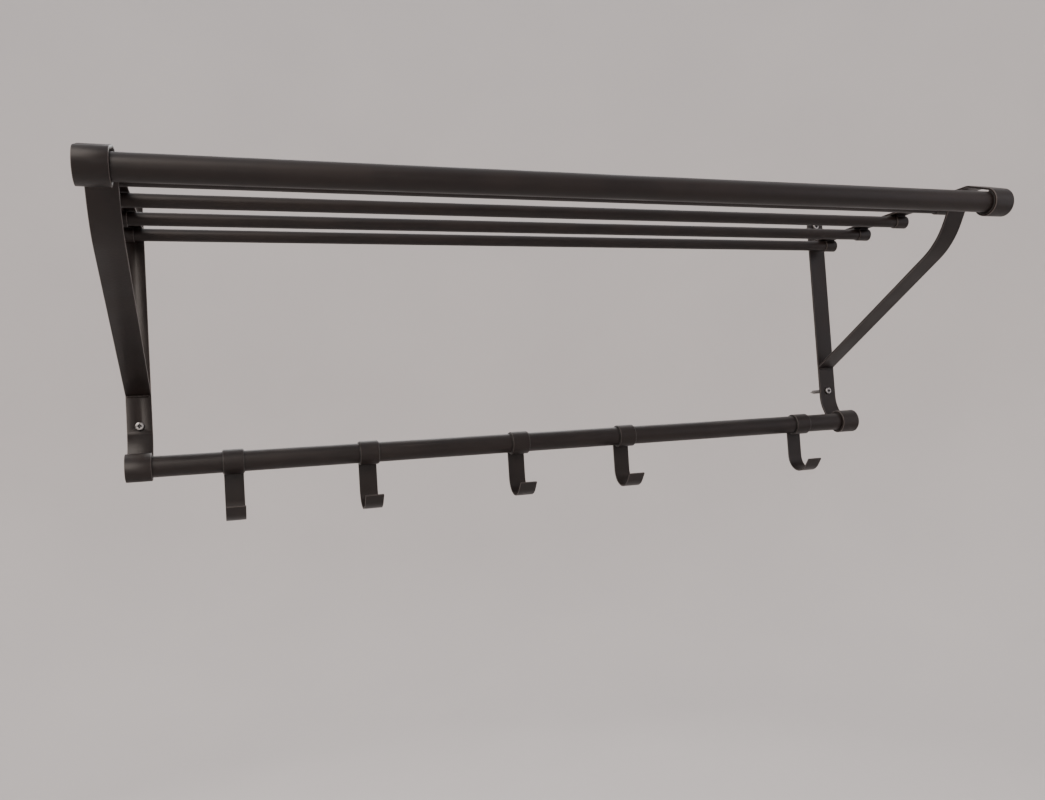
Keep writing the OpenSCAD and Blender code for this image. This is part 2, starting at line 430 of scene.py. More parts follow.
@dataclass(frozen=True)
class PowderCoat:
    """Polyester powder sprayed on steel and baked: semi-matt, with a soft orange peel.

    The eye sees a warm black with a broad, slightly wavy highlight, thinner and shinier coat on sharp edges,
    drawn lighter there to paint in their highlight as well, a little dust on what faces up, and faint rubbing
    where hooks slide.
    """

    name: str = "powder_coat"
    deep: str = "#120c0b"
    worn: str = "#1d1512"
    dust: str = "#8b857e"
    bare: str = "#55504c"
    gloss_low: float = 0.36
    gloss_high: float = 0.5
    ior: float = 1.34
    peel_mm: float = 2.2
    peel_depth_mm: float = 0.16
    # The grain is drawn coarser than the powder's own, so that it shows
    grain_mm: float = 0.6
    cloud_mm: float = 55.0
    dust_mm: float = 9.0
    dusty: float = 0.06
    rub_line_mm: float = 0.7
    rub_patch_mm: float = 38.0
    rubbed: float = 0.0

    def material(self) -> Material:
        """Builds the coat.

        Returns:
            The material.
        """
        s = Surface(self.name)
        cloud = s.clouds(self.cloud_mm, 3)
        peel = s.clouds(self.peel_mm, 1)
        grain = s.clouds(self.grain_mm, 1)
        share = s.add("MapRange", [cloud, 0.35, 0.7, 0, 0.45], **s.SMOOTH)
        colour = s.add("Mix", {0: share, 6: srgb(self.deep), 7: srgb(self.worn)}, data_type="RGBA").outputs[2]
        specks = s.add("MapRange", [s.clouds(self.dust_mm, 4), 0.3, 0.75, 0.1, 1], **s.SMOOTH)
        dust = s.add("Math", [s.upward(0.55, 0.98), specks], operation="MULTIPLY")
        dust = s.add("Math", [dust, self.dusty], operation="MULTIPLY")
        colour = s.add("Mix", {0: dust, 6: colour, 7: srgb(self.dust)}, data_type="RGBA").outputs[2]
        mottle = s.add("Math", [cloud, s.add("Math", [grain, 0.4], operation="MULTIPLY")], operation="ADD")
        roughness = s.add("MapRange", [mottle, 0.4, 1.0, self.gloss_low, self.gloss_high], **s.SMOOTH)
        dulled = s.add("Math", [dust, 0.9], operation="MULTIPLY")
        roughness = s.add("Math", [roughness, dulled], operation="ADD")
        if self.rubbed > 0:
            lines = s.clouds(self.rub_line_mm, 2, (160, 1, 1))
            patches = s.clouds(self.rub_patch_mm, 2, (2.5, 1, 1))
            rub = s.add("MapRange", [lines, 0.56, 0.7, 0, 1], **s.SMOOTH)
            worn_patch = s.add("MapRange", [patches, 0.46, 0.62, 0, 1], **s.SMOOTH)
            for mask in (worn_patch, s.upward(0.2, 0.8), self.rubbed):
                rub = s.add("Math", [rub, mask], operation="MULTIPLY")
            colour = s.add("Mix", {0: rub, 6: colour, 7: srgb(self.bare)}, data_type="RGBA").outputs[2]
            shine = s.add("Math", [rub, 0.2], operation="MULTIPLY")
            roughness = s.add("Math", [roughness, shine], operation="SUBTRACT")
        waves = s.add("Math", [peel, 0.7], operation="MULTIPLY")
        grit = s.add("Math", [grain, 0.3], operation="MULTIPLY")
        height = s.add("Math", [waves, grit], operation="ADD")
        bump = s.add("Bump", {"Height": height, "Distance": self.peel_depth_mm * MM, "Strength": 0.5})
        s.set(Base_Color=colour, Roughness=roughness, Metallic=0.0, IOR=self.ior, Normal=bump)
        return s.material


@dataclass(frozen=True)
class MouldedPlastic:
    """Black polypropylene or nylon, injection moulded in a fine spark-eroded mould.

    The eye sees an even black, a little greyer and duller than the coat, with a fine grain.
    """

    name: str
    dark: str = "#0e0d0d"
    pale: str = "#1d1c1b"
    gloss_low: float = 0.42
    gloss_high: float = 0.6
    grain_mm: float = 0.45
    grain_depth_mm: float = 0.06
    flow_mm: float = 14.0

    def material(self) -> Material:
        """Builds the plastic.

        Returns:
            The material.
        """
        s = Surface(self.name)
        grain = s.clouds(self.grain_mm)
        share = s.add("MapRange", [s.clouds(self.flow_mm), 0.35, 0.7, 0, 0.6], **s.SMOOTH)
        tones = {0: share, 6: srgb(self.dark), 7: srgb(self.pale)}
        s.set(
            Base_Color=s.add("Mix", tones, data_type="RGBA").outputs[2],
            Roughness=s.add("MapRange", [grain, 0.3, 0.7, self.gloss_low, self.gloss_high], **s.SMOOTH),
            Metallic=0.0,
            IOR=1.4,
            Normal=s.add("Bump", {"Height": grain, "Distance": self.grain_depth_mm * MM, "Strength": 0.4}),
        )
        return s.material


@dataclass(frozen=True)
class Rubber:
    """Extruded nitrile rubber strip: dead black, with faint lines along its length and a bloom."""

    name: str = "rubber_lining"
    dark: str = "#0f0f0f"
    bloom: str = "#2a2a2b"
    bloom_mm: float = 5.0
    line_mm: float = 0.5
    line_depth_mm: float = 0.08

    def material(self) -> Material:
        """Builds the rubber.

        Returns:
            The material.
        """
        s = Surface(self.name)
        share = s.add("MapRange", [s.clouds(self.bloom_mm, 3), 0.45, 0.75, 0, 0.7], **s.SMOOTH)
        lines = s.clouds(self.line_mm, 1, (0.6, 8, 8))
        tones = {0: share, 6: srgb(self.dark), 7: srgb(self.bloom)}
        s.set(
            Base_Color=s.add("Mix", tones, data_type="RGBA").outputs[2],
            Roughness=s.add("MapRange", [lines, 0.3, 0.7, 0.72, 0.88], **s.SMOOTH),
            Metallic=0.0,
            IOR=1.52,
            Normal=s.add("Bump", {"Height": lines, "Distance": self.line_depth_mm * MM, "Strength": 0.5}),
        )
        return s.material


@dataclass(frozen=True)
class ZincPlate:
    """Steel screws, electroplated with zinc that has dulled.

    The eye sees a mid grey metal with a soft shine, scuffed by tumbling, and darker in the recess, where a
    far darker copy of it paints in the shade.
    """

    name: str = "zinc_plate"
    bright: str = "#8f8d8c"
    dull: str = "#5d5a59"
    tarnish_mm: float = 2.5
    scuff_mm: float = 0.25
    scuff_depth_mm: float = 0.02

    def material(self) -> Material:
        """Builds the zinc.

        Returns:
            The material.
        """
        s = Surface(self.name)
        share = s.add("MapRange", [s.clouds(self.tarnish_mm, 4), 0.4, 0.75, 0, 0.8], **s.SMOOTH)
        scuffs = s.clouds(self.scuff_mm, 2, (1, 1, 3))
        tones = {0: share, 6: srgb(self.bright), 7: srgb(self.dull)}
        s.set(
            Base_Color=s.add("Mix", tones, data_type="RGBA").outputs[2],
            Roughness=s.add("MapRange", [scuffs, 0.3, 0.7, 0.24, 0.42], **s.SMOOTH),
            Metallic=1.0,
            Normal=s.add("Bump", {"Height": scuffs, "Distance": self.scuff_depth_mm * MM, "Strength": 0.3}),
        )
        return s.material


@dataclass(frozen=True)
class StudioFloor:
    """Matt pale paper sweep, with the slightest mottling."""

    name: str = "studio_floor"
    pale: str = "#cfcbc9"
    shade: str = "#c6c2c1"
    mottle_mm: float = 700.0
    fibre_mm: float = 30.0

    def material(self) -> Material:
        """Builds the floor.

        Returns:
            The material.
        """
        s = Surface(self.name)
        tones = {0: s.clouds(self.mottle_mm), 6: srgb(self.pale), 7: srgb(self.shade)}
        s.set(
            Base_Color=s.add("Mix", tones, data_type="RGBA").outputs[2],
            Roughness=s.add("MapRange", [s.clouds(self.fibre_mm), 0.3, 0.7, 0.8, 0.9], **s.SMOOTH),
            Metallic=0.0,
        )
        return s.material


# The edge coat is drawn far lighter than the faces: partly the thinner coat on sharp edges, partly a painted
# highlight along every bevelled edge.
THIN_COAT_AND_EDGE_HIGHLIGHT = PowderCoat(
    "powder_coat_edge_highlight", "#383230", "#5e5753", gloss_low=0.34, gloss_high=0.46, ior=1.45, dusty=0.1
)
RUBBED_COAT = PowderCoat("powder_coat_rubbed", rubbed=0.5)
NYLON = MouldedPlastic("nylon_glide", "#191918", "#2b2b2a", 0.3, 0.45)


@dataclass
class Palette:
    """All the finishes of the rack, each made once."""

    coat: Material = field(default_factory=PowderCoat().material)
    # The bevelled edges' lighter coat, which is partly a painted highlight.
    edge: Material = field(default_factory=THIN_COAT_AND_EDGE_HIGHLIGHT.material)
    rail: Material = field(default_factory=RUBBED_COAT.material)
    plug: Material = field(default_factory=MouldedPlastic("polypropylene_plug").material)
    glide: Material = field(default_factory=NYLON.material)
    rubber: Material = field(default_factory=Rubber().material)
    zinc: Material = field(default_factory=ZincPlate().material)
    # The screw recesses take a far darker zinc: painted shade in the recess.
    recess: Material = field(default_factory=ZincPlate("zinc_recess_painted_shade", "#3a3a3b", "#1c1c1c").material)


# ---- stock sections


@dataclass(frozen=True)
class Straight:
    """A straight stretch of flat bar, in metres."""

    length: float


@dataclass(frozen=True)
class Bend:
    """A bend of flat bar: its inner radius in metres, and its angle in degrees, positive to the left."""

    inner: float
    angle: float


Path = list[Straight | Bend]


@dataclass
class FlatBar:
    """Flat steel bent in the plane across the wall, as seen from the right-hand end of the rack.

    The bar's right-hand face follows the path, and its thickness lies to the left of it.
    """

    name: str
    width: float
    thickness: float
    x: float
    start: Pair
    heading: float
    steps: Path
    start_corner: float = 0.0
    ease: float = 0.5 * MM

    def build(self) -> Object:
        """Draws the path as a ribbon, corner by corner, and thickens it.

        Returns:
            The bar, still with sharp edges.
        """
        bpy.ops.mesh.primitive_plane_add(size=self.width, location=(self.x, *self.start))
        ribbon = named(self.name)
        pick(ribbon, Element.VERTEX, lambda v: v.co.y > self.start[0])
        bpy.ops.mesh.delete(type="VERT")
        leave_edit()
        for vertex in ribbon.data.vertices:
            vertex.co.y, vertex.co.z = self.start
        pick(ribbon, Element.VERTEX, lambda v: True)
        self.follow()
        leave_edit()
        if self.start_corner > 0:
            start = Vector((0, *self.start))
            pick(ribbon, Element.VERTEX, lambda v: (Vector((0, v.co.y, v.co.z)) - start).length < HAIR)
            bpy.ops.mesh.bevel(offset=self.start_corner, segments=6, affect="VERTICES", clamp_overlap=False)
            leave_edit()
        self.face_left(ribbon)
        modify(ribbon, "SOLIDIFY", thickness=self.thickness, offset=1.0, use_even_offset=True)
        close_up(ribbon)
        return ribbon

    def follow(self) -> None:
        """Extrudes or spins the selected edge along every step of the path."""
        place, angle = Vector((0, *self.start)), math.radians(self.heading)
        for step in self.steps:
            ahead = Vector((0, math.cos(angle), math.sin(angle)))
            left = Vector((0, -math.sin(angle), math.cos(angle)))
            if isinstance(step, Straight):
                extrude(ahead * step.length)
                place = place + ahead * step.length
                continue
            centre = place + left * (step.inner + self.thickness if step.angle > 0 else -step.inner)
            turn = math.radians(step.angle)
            count = math.ceil(abs(step.angle) / FACET_TURN)
            # Spin turns clockwise about +X for a positive angle
            bpy.ops.mesh.spin(steps=count, angle=-turn, center=centre, axis=(1, 0, 0))
            place = centre + Matrix.Rotation(turn, 3, "X") @ (place - centre)
            angle += turn

    def face_left(self, ribbon: Object) -> None:
        """Turns the ribbon's faces to the left of the path, which is where its thickness goes.

        Args:
            ribbon: The ribbon.
        """
        edit_all(ribbon)
        bpy.ops.mesh.normals_make_consistent(inside=False)
        leave_edit()
        angle = math.radians(self.heading)
        left = Vector((0, -math.sin(angle), math.cos(angle)))
        start = Vector((self.x, *self.start))
        first = min(ribbon.data.polygons, key=lambda face: (Vector(face.center) - start).length)
        if first.normal.dot(left) < 0:
            ribbon.data.flip_normals()

    def finish(self, bar: Object, face: Material, edge: Material) -> Object:
        """Coats the built bar, with the lighter edge coat, partly a painted highlight, on its rounded edges,
        and returns it.
        """
        ease_edges(dress(bar, face, edge), self.ease, slot=1)
        return bar


@dataclass
class RoundTube:
    """A round tube along X, open right through."""

    name: str
    ends: Pair
    axis: Pair
    outer: float
    inner: float
    sides: int = 96
    ease: float = 0.3 * MM

    def make(self, *materials: Material) -> Object:
        """Turns a bar, bores it through, eases its rims and coats it.

        Args:
            *materials: Its finish, and the finish of its rims if that differs, such as the lighter edge coat
                        that paints a highlight on them.

        Returns:
            The finished tube.
        """
        start, end = self.ends
        middle = ((start + end) / 2, *self.axis)
        tube = round_bar(self.name, middle, end - start, self.outer, self.sides, Lying.ALONG_WALL)
        pick(tube, Element.FACE, lambda face: abs(face.normal.x) > 0.9)
        bpy.ops.mesh.inset(thickness=self.outer - self.inner, use_individual=True)
        bpy.ops.mesh.delete(type="ONLY_FACE")
        midway = (self.outer + self.inner) / 2
        y, z = self.axis
        pick(tube, Element.EDGE, lambda edge: all(math.hypot(p.y - y, p.z - z) < midway for p in edge))
        bpy.ops.mesh.bridge_edge_loops()
        leave_edit()
        close_up(tube)
        ease_edges(dress(tube, *materials), self.ease, slot=len(materials) - 1)
        return tube


@dataclass
class WeldBead:
    """A fillet weld along X under the coat: a lumpy round bead with tapered ends."""

    name: str
    middle: Triple
    length: float
    radius: float = 1.3 * MM
    ring_gap: float = 0.8 * MM
    lump: float = 1.6 * MM
    lump_height: float = 0.9 * MM

    def build(self, coat: Material) -> Object:
        """Rolls the bead, rounds its ends and makes it lumpy.

        Args:
            coat: The coat over it.

        Returns:
            The bead.
        """
        bead = round_bar(self.name, self.middle, self.length, self.radius, 16, Lying.ALONG_WALL)
        pick(bead, Element.FACE, lambda face: abs(face.normal.x) > 0.9)
        bpy.ops.mesh.bevel(offset=0.7 * self.radius, segments=3, affect="EDGES")
        pick(bead, Element.EDGE, lambda edge: abs(edge[0].x - edge[1].x) > self.length / 2)
        bpy.ops.mesh.subdivide(number_cuts=int(self.length / self.ring_gap))
        leave_edit()
        lumps = bpy.data.textures.new(self.name, "CLOUDS")
        lumps.noise_scale = self.lump
        height = self.lump_height
        modify(bead, "DISPLACE", texture=lumps, texture_coords="LOCAL", strength=height, mid_level=0.6)
        take(dress(bead, coat))
        bpy.ops.object.shade_smooth()
        return bead


# ---- the rack's own sizes


@dataclass
class Layout:
    """Where things are, read from the solids, with the stock sizes that the boxes don't give."""

    bar_width: float = 25 * MM
    bar: float = 2.5 * MM
    tube_wall: float = 1.5 * MM
    rod_wall: float = 1.25 * MM
    tube_lining: float = 1.5 * MM
    rail_lining: float = 1.0 * MM
    lining_inset: float = 0.5 * MM
    lining_setback: float = 5.0
    drop_angle: float = 21.0
    drop_bend: float = 12 * MM
    loop_end: float = 35.0
    strap_bend: float = 40 * MM
    strap_corner: float = 5 * MM
    strap_closes: float = 350.0
    strut_foot: float = 32 * MM
    strut_behind: float = 38 * MM
    neck_angle: float = 60.0
    neck_length: float = 60 * MM
    strut_bend: float = 90 * MM
    rail_below_bend: float = 36 * MM
    hook_thickness: float = 1.5 * MM
    hook_drop: float = 41 * MM
    hook_bend: float = 20 * MM
    hook_turn: float = 140.0
    hook_tip: float = 10.5 * MM
    tip_corner: float = 1 * MM
    glide_wall: float = 0.5 * MM
    glide_flange: float = 0.7 * MM
    running_gap: float = 0.05 * MM

    def __post_init__(self) -> None:
        """Reads the places of the tubes, rods and bars from the solids."""
        low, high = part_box("shelf_band_right")
        self.side, self.inner_side = high.x, low.x
        self.bar_x = (low.x + high.x) / 2
        self.shelf_top = high.z
        self.shelf_under = high.z - self.bar
        self.tube, self.tube_radius = self.axis_and_radius("front_tube")
        self.rail, self.rail_radius = self.axis_and_radius("hook_rail")
        self.rods = [self.axis_and_radius(f"shelf_rod_{i}")[0] for i in range(1, 5)]
        self.rod_radius = self.axis_and_radius("shelf_rod_1")[1]
        self.ferrule_radius = self.axis_and_radius("ferrule_right_1")[1]
        self.flange_radius = self.axis_and_radius("hook_glide_1")[1]
        self.strap_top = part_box("wall_strap_right")[1].z
        low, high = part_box("wall_screw_right_upper")
        self.head_radius, self.head_front, self.screw_end = (high.z - low.z) / 2, low.y, high.y
        self.screw_height = (low.z + high.z) / 2
        low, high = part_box("wall_screw_right_lower")
        self.low_screw_height = (low.z + high.z) / 2
        self.hooks = [sum(self.ends(f"hook_{i}")) / 2 for i in range(1, 6)]
        start, end = self.ends("hook_1")
        self.hook_width = end - start
        start, end = self.ends("hook_glide_1")
        self.glide_length = end - start
        self.bend_height = self.rail[1] + self.rail_below_bend

    @staticmethod
    def ends(node: str) -> Pair:
        """Where a solid starts and ends along the wall."""
        low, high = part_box(node)
        return low.x, high.x

    @staticmethod
    def axis_and_radius(node: str) -> tuple[Pair, float]:
        """The Y and Z of a round solid's axis, and its radius."""
        low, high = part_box(node)
        return ((low.y + high.y) / 2, (low.z + high.z) / 2), (high.z - low.z) / 2


# ---- sub-assemblies


@dataclass
class SideFrames:
    """The wall strap, shelf band and strut of each side, with their welds."""

    at: Layout
    palette: Palette
    hole_radius: float = 2.75 * MM
    rod_weld: float = 14 * MM
    weld_margin: float = 1.5 * MM

    def make(self) -> None:
        """Makes the right-hand bars and mirrors them to the left."""
        bars = {"wall_strap": self.strap(), "shelf_band": self.band(), "strut": self.strut()}
        for kind, bar in bars.items():
            hand_over_pair(bar, "powder_coat", f"{kind}_right")
        self.welds()

    def bar(self, kind: str, start: Pair, heading: float, steps: Path, **more: float) -> FlatBar:
        """One bar of the right-hand frame.

        Args:
            kind: Its name, without its side.
            start: The Y and Z where its path starts.
            heading: The path's direction there, in degrees from +Y towards +Z.
            steps: The path.
            **more: Its other fields.

        Returns:
            The bar, not built yet.
        """
        return FlatBar(
            f"{kind}_bar_right", self.at.bar_width, self.at.bar, self.at.bar_x, start, heading, steps, **more
        )

    def strap(self) -> Object:
        """The bar that lies on the wall, curves forward and closes round the rail.

        Returns:
            The right-hand wall strap.
        """
        at = self.at
        loop_in = at.rail_radius + at.rail_lining
        loop_out = loop_in + at.bar
        across = at.strap_bend + at.rail[0]
        down = at.bend_height - at.rail[1]
        turn = math.atan2(down, across) - math.acos((at.strap_bend - loop_out) / math.hypot(across, down))
        run = down * math.cos(turn) - across * math.sin(turn)
        angle = math.degrees(turn)
        steps = [
            Straight(at.strap_top - at.bend_height),
            Bend(at.strap_bend - at.bar, -angle),
            Straight(run),
            Bend(loop_in, angle - at.strap_closes),
        ]
        bar = self.bar("wall_strap", (-at.bar, at.strap_top), -90, steps, start_corner=at.strap_corner)
        strap = bar.build()
        for height in (at.screw_height, at.low_screw_height):
            middle = (at.bar_x, -at.bar / 2, height)
            carve(strap, round_bar("drill", middle, 4 * at.bar, self.hole_radius, 48, Lying.INTO_WALL))
        return bar.finish(strap, self.palette.coat, self.palette.edge)

    def band(self) -> Object:
        """The bar that lies on the rods, drops to the front tube and closes round it.

        Returns:
            The right-hand shelf band.
        """
        at = self.at
        loop_in = at.tube_radius + at.tube_lining
        loop_out = loop_in + at.bar
        slope = math.radians(at.drop_angle)
        run = (at.shelf_top - at.tube[1] - loop_out * math.cos(slope)) / math.sin(slope)
        corner = at.tube[0] - loop_out * math.sin(slope) + run * math.cos(slope)
        tangent = (at.drop_bend + at.bar) * math.tan(slope / 2)
        steps = [
            Straight(-at.bar - corner - tangent),
            Bend(at.drop_bend, at.drop_angle),
            Straight(run - tangent),
            Bend(loop_in, 270 + at.loop_end - at.drop_angle),
        ]
        bar = self.bar("shelf_band", (-at.bar, at.shelf_top), 180, steps)
        return bar.finish(bar.build(), self.palette.coat, self.palette.edge)

    def strut(self) -> Object:
        """The brace from the shelf band down to the wall strap.

        Returns:
            The right-hand strut, mitred at both ends.
        """
        at = self.at
        neck = math.radians(at.neck_angle)
        ahead = Vector((0, math.cos(neck), -math.sin(neck)))
        head = Vector((0, at.tube[0] + at.strut_behind, at.shelf_under))
        corner = head + at.neck_length * ahead
        foot = Vector((0, -at.bar, at.low_screw_height + at.strut_foot))
        turn = neck - math.atan2(corner.z - foot.z, foot.y - corner.y)
        tangent = at.strut_bend * math.tan(turn / 2)
        spare = 3 * at.bar
        start = head - spare * ahead
        steps = [
            Straight(spare + at.neck_length - tangent),
            Bend(at.strut_bend - at.bar, math.degrees(turn)),
            Straight((corner - foot).length - tangent + spare),
        ]
        bar = self.bar("strut", (start.y, start.z), -at.neck_angle, steps)
        strut = bar.build()
        cut_off(strut, (0, 0, at.shelf_under), (0, 0, 1))
        cut_off(strut, (0, -at.bar, 0), (0, 1, 0))
        return bar.finish(strut, self.palette.coat, self.palette.edge)

    def welds(self) -> None:
        """Lays a fillet weld at every joint of rods, bars and struts."""
        at = self.at
        outwards = 4 * MM  # The rods' welds lie this much further out than the bar's middle
        spots = {}
        for i, (y, z) in enumerate(at.rods, 1):
            for where, side in (("front", -1), ("back", 1)):
                spot = (at.bar_x + outwards, y + side * 3.6 * MM, at.shelf_under - 0.9 * MM)
                spots[f"rod_{i}_{where}"] = (spot, self.rod_weld)
        head = at.tube[0] + at.strut_behind
        foot = at.low_screw_height + at.strut_foot
        # The Y and Z of each bead's axis, a little way out of the corner that it fills
        corners = {
            "strut_head_front": (head - 0.4 * MM, at.shelf_under - 0.7 * MM),
            "strut_head_back": (head + 3.6 * MM, at.shelf_under - 0.7 * MM),
            "strut_foot_below": (-at.bar - 0.6 * MM, foot - 0.6 * MM),
            "strut_foot_above": (-at.bar - 0.7 * MM, foot + 3.6 * MM),
            "band_above": (-at.bar - 0.6 * MM, at.shelf_top + 0.4 * MM),
            "band_below": (-at.bar - 0.6 * MM, at.shelf_under - 0.4 * MM),
        }
        length = at.bar_width - 2 * self.weld_margin
        spots.update({where: ((at.bar_x, *corner), length) for where, corner in corners.items()})
        for where, (middle, length) in spots.items():
            bead = WeldBead(f"weld_{where}_right", middle, length)
            hand_over_pair(bead.build(self.palette.coat), "powder_coat")


@dataclass
class TubesAndRods:
    """The front tube, the hook rail, the shelf rods and the ferrules on their ends."""

    at: Layout
    palette: Palette

    def make(self) -> None:
        """Makes every tube, rod and ferrule."""
        at, coat = self.at, self.palette.coat
        self.tube("front_tube", at.tube, at.tube_radius, at.tube_wall, coat)
        self.tube("hook_rail", at.rail, at.rail_radius, at.tube_wall, self.palette.rail)
        for i, axis in enumerate(at.rods, 1):
            self.tube(f"shelf_rod_{i}", axis, at.rod_radius, at.rod_wall, coat)
            for side in SIDES:
                node, name = f"ferrule_{side}_{i}", f"ferrule_sleeve_{side}_{i}"
                ring = RoundTube(name, at.ends(node), axis, at.ferrule_radius, at.rod_radius, 64, 0.45 * MM)
                hand_over(ring.make(coat, self.palette.edge), "frame", "powder_coat", node)

    def tube(self, node: str, axis: Pair, radius: float, wall: float, coat: Material) -> None:
        """Makes one tube as long as its solid, with a wall of its own stock size."""
        stock = RoundTube(f"{node}_stock", self.at.ends(node), axis, radius, radius - wall)
        hand_over(stock.make(coat, self.palette.edge), "frame", "powder_coat", node)


@dataclass
class PlugsAndLinings:
    """The plastic plugs that close the tubes and rods, and the rubber inside the loops."""

    at: Layout
    palette: Palette
    head: float = 1.5 * MM
    rim: float = 2.6 * MM
    dish: float = 0.5 * MM
    gate: float = 1.5 * MM
    gate_height: float = 0.3 * MM
    stem_wall: float = 1.5 * MM
    stem_end: float = 1 * MM
    well_rim: float = 1.2 * MM
    well_depth: float = 1 * MM

    def make(self) -> None:
        """Makes the right-hand plugs and linings and mirrors them to the left."""
        at = self.at
        pieces = {
            "front_plug": self.plug("front_plug", at.tube, at.tube_radius - at.tube_wall),
            "rail_plug": self.plug("rail_plug", at.rail, at.rail_radius - at.tube_wall),
            "front_lining": self.front_lining(),
            "rail_lining": self.rail_lining(),
        }
        for kind, piece in pieces.items():
            slot = "black_plastic" if kind.endswith("plug") else "rubber_lining"
            hand_over_pair(piece, slot, f"{kind}_right")
        for i, axis in enumerate(at.rods, 1):
            hand_over_pair(self.rod_plug(i, axis), "black_plastic", f"rod_plug_right_{i}")

    def blank(self, node: str, axis: Pair, sides: int, length: float = 0) -> tuple[Object, float, float]:
        """A round blank at the outer end of a right-hand plug, with its outer face picked.

        Args:
            node: The solid that it stands for.
            axis: The Y and Z of its axis.
            sides: How many facets go round it.
            length: How long it is, or 0 for as long as its solid.

        Returns:
            The blank, its radius, and the solid's length.
        """
        start, end = self.at.ends(node)
        radius = self.at.axis_and_radius(node)[1]
        length = length or end - start
        name = node.replace("plug", "plug_piece")
        blank = round_bar(name, (end - length / 2, *axis), length, radius, sides, Lying.ALONG_WALL)
        pick(blank, Element.FACE, lambda face: face.normal.x > 0.9)
        return blank, radius, end - start

    def plug(self, kind: str, axis: Pair, bore: float) -> Object:
        """A flush plug: a dished head with a gate mark in its middle, and a stem in the tube.

        Args:
            kind: Which plug it is.
            axis: The Y and Z of the tube's axis.
            bore: The tube's inner radius.

        Returns:
            The right-hand plug.
        """
        plug, radius, length = self.blank(f"{kind}_right", axis, 96, self.head)
        bpy.ops.mesh.inset(thickness=self.rim)
        bpy.ops.mesh.inset(thickness=self.dish, depth=-self.dish)
        bpy.ops.mesh.inset(thickness=radius - self.rim - self.dish - self.gate)
        bpy.ops.mesh.inset(thickness=0.25 * MM, depth=self.gate_height)
        pick(plug, Element.FACE, lambda face: face.normal.x < -0.9)
        bpy.ops.mesh.inset(thickness=radius - bore + 0.1 * MM)
        stem = length - self.head
        extrude((-stem, 0, 0))
        bpy.ops.mesh.inset(thickness=self.stem_wall)
        extrude((stem - self.stem_end, 0, 0))
        leave_edit()
        ease_edges(dress(plug, self.palette.plug), 0.25 * MM)
        return plug

    def rod_plug(self, i: int, axis: Pair) -> Object:
        """A small plug sunk in a rod's end, with a round well in its face.

        Args:
            i: The rod's number.
            axis: The Y and Z of the rod's axis.

        Returns:
            The right-hand plug.
        """
        plug = self.blank(f"rod_plug_right_{i}", axis, 48)[0]
        bpy.ops.mesh.inset(thickness=self.well_rim)
        bpy.ops.mesh.inset(thickness=0.4 * MM, depth=-self.well_depth)
        leave_edit()
        ease_edges(dress(plug, self.palette.plug), 0.2 * MM)
        return plug

    def front_lining(self) -> Object:
        """The rubber between the front tube and its loop, cut back from both ends of the loop.

        Returns:
            The right-hand lining.
        """
        at = self.at
        first = math.radians(at.drop_angle + at.lining_setback + 90)
        outer = at.tube_radius + at.tube_lining
        bar = FlatBar(
            "front_lining_piece_right",
            at.bar_width - 2 * at.lining_inset,
            at.tube_lining,
            at.bar_x,
            (at.tube[0] + outer * math.cos(first), at.tube[1] + outer * math.sin(first)),
            math.degrees(first) + 90,
            [Bend(at.tube_radius, 270 + at.loop_end - at.drop_angle - 2 * at.lining_setback)],
            ease=0.25 * MM,
        )
        return bar.finish(bar.build(), self.palette.rubber, self.palette.rubber)

    def rail_lining(self) -> Object:
        """The rubber ring between the rail and its loop.

        Returns:
            The right-hand lining.
        """
        at = self.at
        ends = (at.inner_side + at.lining_inset, at.side - at.lining_inset)
        outer = at.rail_radius + at.rail_lining
        ring = RoundTube("rail_lining_piece_right", ends, at.rail, outer, at.rail_radius, ease=0.2 * MM)
        return ring.make(self.palette.rubber)


